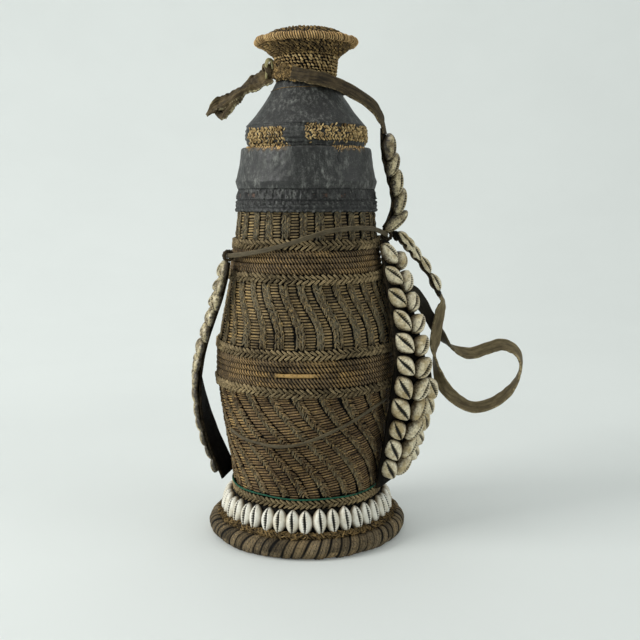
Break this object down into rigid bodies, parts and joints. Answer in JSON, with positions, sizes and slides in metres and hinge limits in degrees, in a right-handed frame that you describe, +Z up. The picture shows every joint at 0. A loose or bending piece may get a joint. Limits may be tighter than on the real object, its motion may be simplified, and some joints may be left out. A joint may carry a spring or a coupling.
{
  "type": "milk jug",
  "caption": "Woven fibre milk jug with a pitch-coated neck, a conical plug lid tied on by a leather noose, and leather side straps sewn with cowrie shells.",
  "frame": {"origin": "middle of the flat underside of the foot, on the floor", "axes": "+Z up along the vessel's axis, -Y to the front that the picture shows, +X to the side with the handle strap"},
  "size_m": [0.2541, 0.149, 0.3699],
  "materials": {
    "weave_fibre": "matt, woven",
    "coil_fibre": "matt, wrapped coils",
    "plaited_fibre": "matt, plaited",
    "tan_fibre": "matt, worn fibre",
    "pitch_coat": "satin, scuffed",
    "leather": "worn, satin",
    "shell": "semi-gloss",
    "green_thread": "matt thread"
  },
  "bodies": {
    "vessel": {"vessel_basket": "weave_fibre", "foot_braid": "plaited_fibre", "belly_low_braid": "plaited_fibre", "belly_high_braid": "plaited_fibre", "upper_braid": "plaited_fibre", "shoulder_braid": "plaited_fibre", "belly_coil_rows": "coil_fibre", "shoulder_coil_rows": "coil_fibre", "green_thread": "green_thread", "collar_rim_cord": "pitch_coat", "collar_stitched_band": "pitch_coat", "collar_sleeve": "pitch_coat", "foot_skirt": "weave_fibre", "foot_shell_row": "shell", "foot_inner_coil": "tan_fibre", "foot_roll": "coil_fibre", "foot_mat": "coil_fibre", "left_eye": "leather", "right_eye": "leather", "girdle_thong": "leather", "lower_thong": "leather", "left_strap": "leather", "left_shells_front": "shell", "left_shells_back": "shell", "right_strap": "leather", "right_shells_front": "shell", "right_shells_middle": "shell", "right_shells_low": "shell", "tether_tab": "leather", "tether_tab_shells": "shell", "handle_root": "leather", "handle_root_shells": "shell", "handle_strap": "leather"},
    "lid_tether": {"lid_noose": "leather", "lid_knot": "leather", "lid_tail": "leather", "lid_strap": "leather"},
    "lid": {"lid_plug": "weave_fibre", "lid_rim_coil": "tan_fibre", "lid_cone": "pitch_coat", "lid_neck": "coil_fibre", "lid_brim": "coil_fibre", "lid_brim_edge": "tan_fibre"}
  },
  "joints": [
    {"name": "lid_lift", "type": "slide", "parent": "vessel", "child": "lid_tether", "axis": [0, 0, 1], "range_m": [0, 0.03], "deforming": ["lid_strap"]},
    {"name": "lid_turn", "type": "hinge", "parent": "lid_tether", "child": "lid", "pos_m": [0, 0, 0.3], "axis": [0, 0, 1], "continuous": true}
  ]
}
